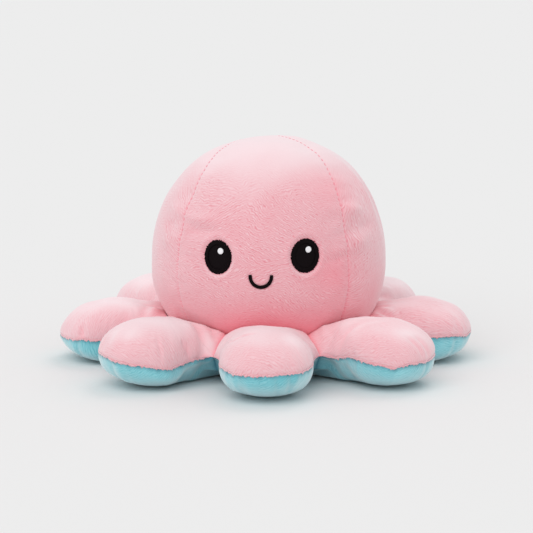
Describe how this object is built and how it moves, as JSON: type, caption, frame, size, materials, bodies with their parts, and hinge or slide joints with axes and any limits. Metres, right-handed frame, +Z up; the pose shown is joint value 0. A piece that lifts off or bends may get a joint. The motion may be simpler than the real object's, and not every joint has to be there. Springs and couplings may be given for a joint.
{
  "type": "plush octopus",
  "caption": "Soft stuffed octopus toy with a round pink head, smiling face, short rounded legs and a pale blue underside with a pocket in it.",
  "frame": {"origin": "on the floor under the middle of the toy, where it stands on its legs and its blue underside", "axes": "+Z up; the face looks along -Y; +X is the right side of the picture"},
  "size_m": [0.2, 0.2, 0.1085],
  "materials": {
    "pink_plush": "short pile fabric",
    "blue_plush": "short pile fabric",
    "filling": "loose polyester fibre",
    "black_embroidery": "satin stitch embroidery",
    "white_embroidery": "satin stitch embroidery",
    "pink_thread": "sewing thread"
  },
  "bodies": {
    "base": {"neck_ring": "pink_plush", "ring_bottom_skin": "blue_plush", "ring_filling": "filling"},
    "head": {"head_panel_back": "pink_plush", "head_panel_left": "pink_plush", "head_panel_front": "pink_plush", "head_panel_right": "pink_plush", "head_filling": "filling", "lining_panel_back": "blue_plush", "lining_panel_left": "blue_plush", "lining_panel_front": "blue_plush", "lining_panel_right": "blue_plush", "seam_thread_back_right": "pink_thread", "seam_thread_back_left": "pink_thread", "seam_thread_front_left": "pink_thread", "seam_thread_front_right": "pink_thread", "eye_patch_left": "black_embroidery", "eye_border_left": "black_embroidery", "eye_glint_left": "white_embroidery", "eye_patch_right": "black_embroidery", "eye_border_right": "black_embroidery", "eye_glint_right": "white_embroidery", "smile": "black_embroidery"},
    "leg_right": {"leg_right_top_skin": "pink_plush", "leg_right_bottom_skin": "blue_plush", "leg_right_filling": "filling"},
    "leg_back_right": {"leg_back_right_top_skin": "pink_plush", "leg_back_right_bottom_skin": "blue_plush", "leg_back_right_filling": "filling"},
    "leg_back": {"leg_back_top_skin": "pink_plush", "leg_back_bottom_skin": "blue_plush", "leg_back_filling": "filling"},
    "leg_back_left": {"leg_back_left_top_skin": "pink_plush", "leg_back_left_bottom_skin": "blue_plush", "leg_back_left_filling": "filling"},
    "leg_left": {"leg_left_top_skin": "pink_plush", "leg_left_bottom_skin": "blue_plush", "leg_left_filling": "filling"},
    "leg_front_left": {"leg_front_left_top_skin": "pink_plush", "leg_front_left_bottom_skin": "blue_plush", "leg_front_left_filling": "filling"},
    "leg_front": {"leg_front_top_skin": "pink_plush", "leg_front_bottom_skin": "blue_plush", "leg_front_filling": "filling"},
    "leg_front_right": {"leg_front_right_top_skin": "pink_plush", "leg_front_right_bottom_skin": "blue_plush", "leg_front_right_filling": "filling"}
  },
  "joints": [
    {"name": "head_twist", "type": "hinge", "parent": "base", "child": "head", "pos_m": [0, 0, 0.0125], "axis": [0, 0, 1], "range_deg": [-20, 20], "stiffness_Nm_per_rad": 0.05},
    {"name": "leg_right_bend", "type": "hinge", "parent": "base", "child": "leg_right", "pos_m": [0.062, 0, 0.015], "axis": [0, -1, 0], "range_deg": [-45, 45], "stiffness_Nm_per_rad": 0.03},
    {"name": "leg_back_right_bend", "type": "hinge", "parent": "base", "child": "leg_back_right", "pos_m": [0.04384, 0.04384, 0.015], "axis": [0.7071, -0.7071, 0], "range_deg": [-45, 45], "stiffness_Nm_per_rad": 0.03},
    {"name": "leg_back_bend", "type": "hinge", "parent": "base", "child": "leg_back", "pos_m": [0, 0.062, 0.015], "axis": [1, 0, 0], "range_deg": [-45, 45], "stiffness_Nm_per_rad": 0.03},
    {"name": "leg_back_left_bend", "type": "hinge", "parent": "base", "child": "leg_back_left", "pos_m": [-0.04384, 0.04384, 0.015], "axis": [0.7071, 0.7071, 0], "range_deg": [-45, 45], "stiffness_Nm_per_rad": 0.03},
    {"name": "leg_left_bend", "type": "hinge", "parent": "base", "child": "leg_left", "pos_m": [-0.062, 0, 0.015], "axis": [0, 1, 0], "range_deg": [-45, 45], "stiffness_Nm_per_rad": 0.03},
    {"name": "leg_front_left_bend", "type": "hinge", "parent": "base", "child": "leg_front_left", "pos_m": [-0.04384, -0.04384, 0.015], "axis": [-0.7071, 0.7071, 0], "range_deg": [-45, 45], "stiffness_Nm_per_rad": 0.03},
    {"name": "leg_front_bend", "type": "hinge", "parent": "base", "child": "leg_front", "pos_m": [0, -0.062, 0.015], "axis": [-1, 0, 0], "range_deg": [-45, 45], "stiffness_Nm_per_rad": 0.03},
    {"name": "leg_front_right_bend", "type": "hinge", "parent": "base", "child": "leg_front_right", "pos_m": [0.04384, -0.04384, 0.015], "axis": [-0.7071, -0.7071, 0], "range_deg": [-45, 45], "stiffness_Nm_per_rad": 0.03}
  ]
}
